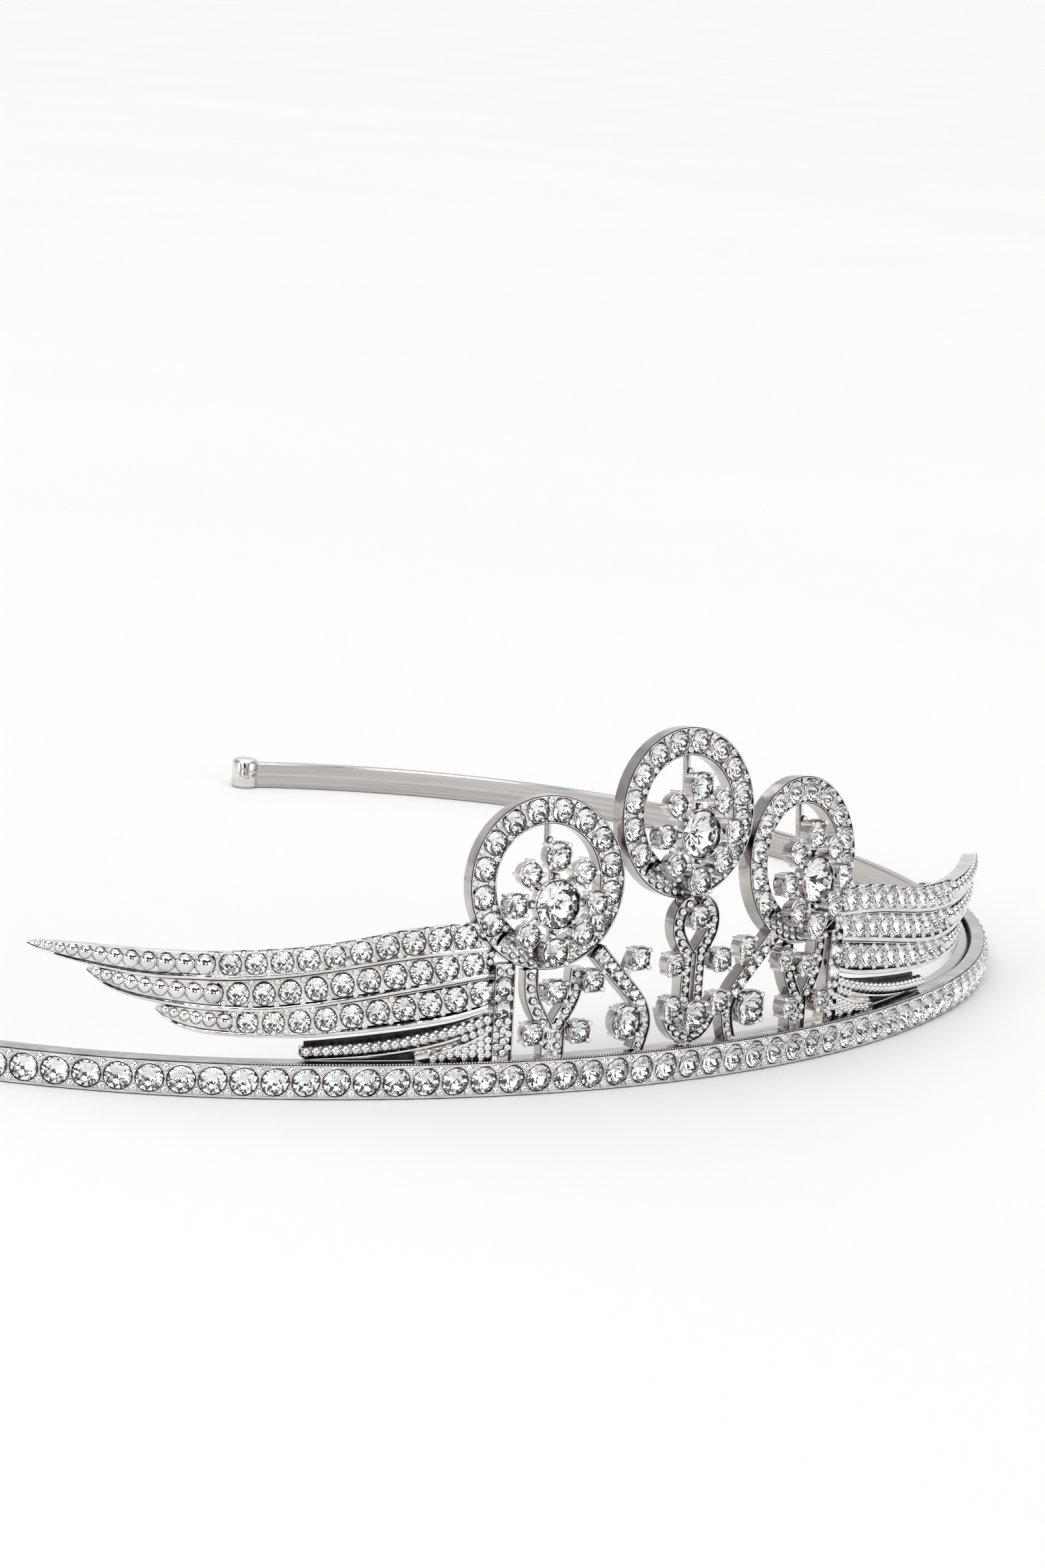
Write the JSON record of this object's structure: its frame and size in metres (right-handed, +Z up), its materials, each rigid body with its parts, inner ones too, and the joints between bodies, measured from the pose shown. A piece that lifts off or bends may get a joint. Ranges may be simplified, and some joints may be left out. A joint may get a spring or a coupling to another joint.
{
  "type": "bridal tiara",
  "caption": "U-shaped headband with a crystal-set front rail carrying an openwork crest of round medallions, stems and layered wings, worn on the head.",
  "frame": {"origin": "middle of the tiara's footprint on the surface it stands on", "axes": "+X along the width to the wearer's left, -Y to the front, +Z up"},
  "size_m": [0.1558, 0.1296, 0.0334],
  "materials": {
    "band_metal": "polished silver plating, slightly softer than the crest",
    "cast_metal": "high polish silver plating",
    "crystal": "clear cut crystal with a mirrored back"
  },
  "bodies": {
    "root": {"headband": "band_metal", "crystal_rail": "cast_metal", "left_medallion_ring": "cast_metal", "left_flower_setting": "cast_metal", "left_hanger_pin": "cast_metal", "left_flower_stone": "crystal", "left_petal_east": "crystal", "left_petal_north_east": "crystal", "left_petal_north": "crystal", "left_petal_north_west": "crystal", "left_petal_west": "crystal", "left_petal_south_west": "crystal", "left_petal_south": "crystal", "left_petal_south_east": "crystal", "centre_medallion_ring": "cast_metal", "centre_flower_setting": "cast_metal", "centre_hanger_pin": "cast_metal", "centre_flower_stone": "crystal", "centre_petal_east": "crystal", "centre_petal_north_east": "crystal", "centre_petal_north": "crystal", "centre_petal_north_west": "crystal", "centre_petal_west": "crystal", "centre_petal_south_west": "crystal", "centre_petal_south": "crystal", "centre_petal_south_east": "crystal", "right_medallion_ring": "cast_metal", "right_flower_setting": "cast_metal", "right_hanger_pin": "cast_metal", "right_flower_stone": "crystal", "right_petal_east": "crystal", "right_petal_north_east": "crystal", "right_petal_north": "crystal", "right_petal_north_west": "crystal", "right_petal_west": "crystal", "right_petal_south_west": "crystal", "right_petal_south": "crystal", "right_petal_south_east": "crystal", "centre_stem": "cast_metal", "centre_loop_stone": "crystal", "centre_base_stone": "crystal", "left_side_stem": "cast_metal", "left_branch": "cast_metal", "left_column": "cast_metal", "left_branch_stone": "crystal", "left_upper_feather": "cast_metal", "left_middle_feather": "cast_metal", "left_lower_feather": "cast_metal", "left_quill": "cast_metal", "left_fan": "cast_metal", "right_side_stem": "cast_metal", "right_branch": "cast_metal", "right_column": "cast_metal", "right_branch_stone": "crystal", "right_upper_feather": "cast_metal", "right_middle_feather": "cast_metal", "right_lower_feather": "cast_metal", "right_quill": "cast_metal", "right_fan": "cast_metal"}
  },
  "joints": []
}
